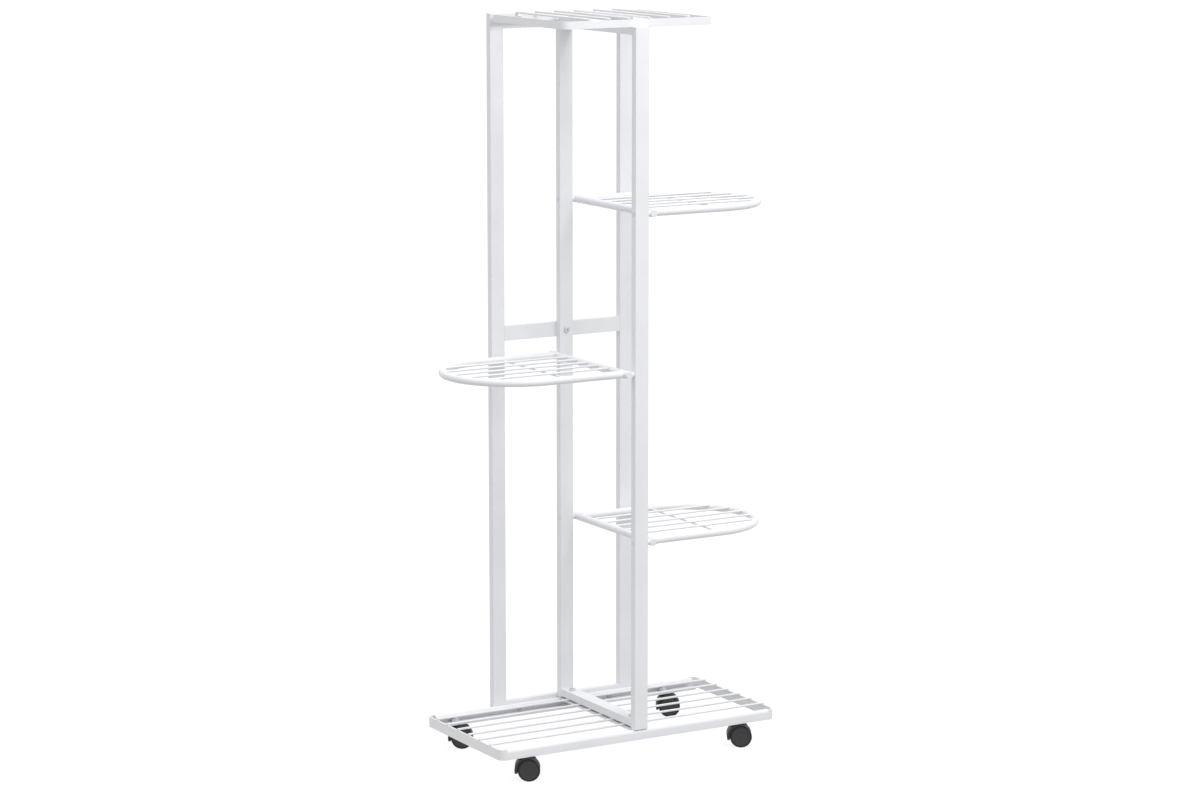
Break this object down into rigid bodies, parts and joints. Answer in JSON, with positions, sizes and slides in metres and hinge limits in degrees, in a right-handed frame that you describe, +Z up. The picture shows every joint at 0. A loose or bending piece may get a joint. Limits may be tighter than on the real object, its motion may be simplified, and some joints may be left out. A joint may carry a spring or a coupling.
{
  "type": "plant stand",
  "caption": "Tall wheeled plant stand: wire tray on twin-wheel castors, two crossed upright tube frames, round-ended wire shelves left and right, and a small wire shelf on top.",
  "frame": {"origin": "on the floor, below the middle of the stand", "axes": "+X to the right, +Y to the back, +Z up"},
  "size_m": [0.47, 0.2292, 0.999],
  "materials": {
    "white_steel": "satin powder coat",
    "zinc_steel": "bright zinc plating",
    "black_plastic": "fine-grained moulded",
    "white_plastic": "satin moulded"
  },
  "bodies": {
    "stand": {"back_bottom_bar": "white_steel", "back_crossbar": "white_steel", "back_left_post": "white_steel", "back_right_post": "white_steel", "back_top_bar": "white_steel", "bottom_bar_bolts": "zinc_steel", "bottom_bar_nuts": "zinc_steel", "castor_stem_nuts": "zinc_steel", "castor_stems": "zinc_steel", "centre_bottom_bar": "white_steel", "centre_front_post": "white_steel", "centre_rear_post": "white_steel", "centre_top_bar": "white_steel", "cross_tube_plugs": "white_plastic", "crossbar_bolt": "zinc_steel", "left_shelf_cross_tube": "white_steel", "left_shelf_hoop": "white_steel", "left_shelf_support": "white_steel", "left_shelf_wires": "white_steel", "lower_right_shelf_cross_tube": "white_steel", "lower_right_shelf_hoop": "white_steel", "lower_right_shelf_support": "white_steel", "lower_right_shelf_wires": "white_steel", "shelf_screws": "zinc_steel", "shelf_spacers": "white_steel", "top_shelf_back_bolts": "white_steel", "top_shelf_back_spacers": "white_steel", "top_shelf_band": "white_steel", "top_shelf_bolts": "zinc_steel", "top_shelf_clamp_strip": "white_steel", "top_shelf_wires": "white_steel", "tray_back_bolts": "zinc_steel", "tray_back_rail": "white_steel", "tray_clamp_strip": "white_steel", "tray_front_rail": "white_steel", "tray_left_end": "white_steel", "tray_right_end": "white_steel", "tray_wires": "white_steel", "upper_right_shelf_cross_tube": "white_steel", "upper_right_shelf_hoop": "white_steel", "upper_right_shelf_support": "white_steel", "upper_right_shelf_wires": "white_steel"},
    "front_left_swivel": {"front_left_castor_hood": "black_plastic", "front_left_castor_axle": "zinc_steel"},
    "front_left_front_wheel_spin": {"front_left_castor_front_wheel": "black_plastic"},
    "front_left_back_wheel_spin": {"front_left_castor_back_wheel": "black_plastic"},
    "front_right_swivel": {"front_right_castor_hood": "black_plastic", "front_right_castor_axle": "zinc_steel"},
    "front_right_front_wheel_spin": {"front_right_castor_front_wheel": "black_plastic"},
    "front_right_back_wheel_spin": {"front_right_castor_back_wheel": "black_plastic"},
    "back_left_swivel": {"back_left_castor_hood": "black_plastic", "back_left_castor_axle": "zinc_steel"},
    "back_left_front_wheel_spin": {"back_left_castor_front_wheel": "black_plastic"},
    "back_left_back_wheel_spin": {"back_left_castor_back_wheel": "black_plastic"},
    "back_right_swivel": {"back_right_castor_hood": "black_plastic", "back_right_castor_axle": "zinc_steel"},
    "back_right_front_wheel_spin": {"back_right_castor_front_wheel": "black_plastic"},
    "back_right_back_wheel_spin": {"back_right_castor_back_wheel": "black_plastic"}
  },
  "joints": [
    {"name": "front_left_castor_swivel", "type": "hinge", "parent": "stand", "child": "front_left_swivel", "pos_m": [-0.1765, -0.0935, 0.022], "axis": [0, 0, 1], "continuous": true},
    {"name": "front_left_front_wheel_axle", "type": "hinge", "parent": "front_left_swivel", "child": "front_left_front_wheel_spin", "pos_m": [-0.16871, -0.098, 0.015], "axis": [0.5, 0.866, 0], "continuous": true},
    {"name": "front_left_back_wheel_axle", "type": "hinge", "parent": "front_left_swivel", "child": "front_left_back_wheel_spin", "pos_m": [-0.16871, -0.098, 0.015], "axis": [0.5, 0.866, 0], "continuous": true},
    {"name": "front_right_castor_swivel", "type": "hinge", "parent": "stand", "child": "front_right_swivel", "pos_m": [0.1555, -0.0935, 0.022], "axis": [0, 0, 1], "continuous": true},
    {"name": "front_right_front_wheel_axle", "type": "hinge", "parent": "front_right_swivel", "child": "front_right_front_wheel_spin", "pos_m": [0.16329, -0.098, 0.015], "axis": [0.5, 0.866, 0], "continuous": true},
    {"name": "front_right_back_wheel_axle", "type": "hinge", "parent": "front_right_swivel", "child": "front_right_back_wheel_spin", "pos_m": [0.16329, -0.098, 0.015], "axis": [0.5, 0.866, 0], "continuous": true},
    {"name": "back_left_castor_swivel", "type": "hinge", "parent": "stand", "child": "back_left_swivel", "pos_m": [-0.1765, 0.0935, 0.022], "axis": [0, 0, 1], "continuous": true},
    {"name": "back_left_front_wheel_axle", "type": "hinge", "parent": "back_left_swivel", "child": "back_left_front_wheel_spin", "pos_m": [-0.16871, 0.089, 0.015], "axis": [0.5, 0.866, 0], "continuous": true},
    {"name": "back_left_back_wheel_axle", "type": "hinge", "parent": "back_left_swivel", "child": "back_left_back_wheel_spin", "pos_m": [-0.16871, 0.089, 0.015], "axis": [0.5, 0.866, 0], "continuous": true},
    {"name": "back_right_castor_swivel", "type": "hinge", "parent": "stand", "child": "back_right_swivel", "pos_m": [0.1555, 0.0935, 0.022], "axis": [0, 0, 1], "continuous": true},
    {"name": "back_right_front_wheel_axle", "type": "hinge", "parent": "back_right_swivel", "child": "back_right_front_wheel_spin", "pos_m": [0.16329, 0.089, 0.015], "axis": [0.5, 0.866, 0], "continuous": true},
    {"name": "back_right_back_wheel_axle", "type": "hinge", "parent": "back_right_swivel", "child": "back_right_back_wheel_spin", "pos_m": [0.16329, 0.089, 0.015], "axis": [0.5, 0.866, 0], "continuous": true}
  ]
}
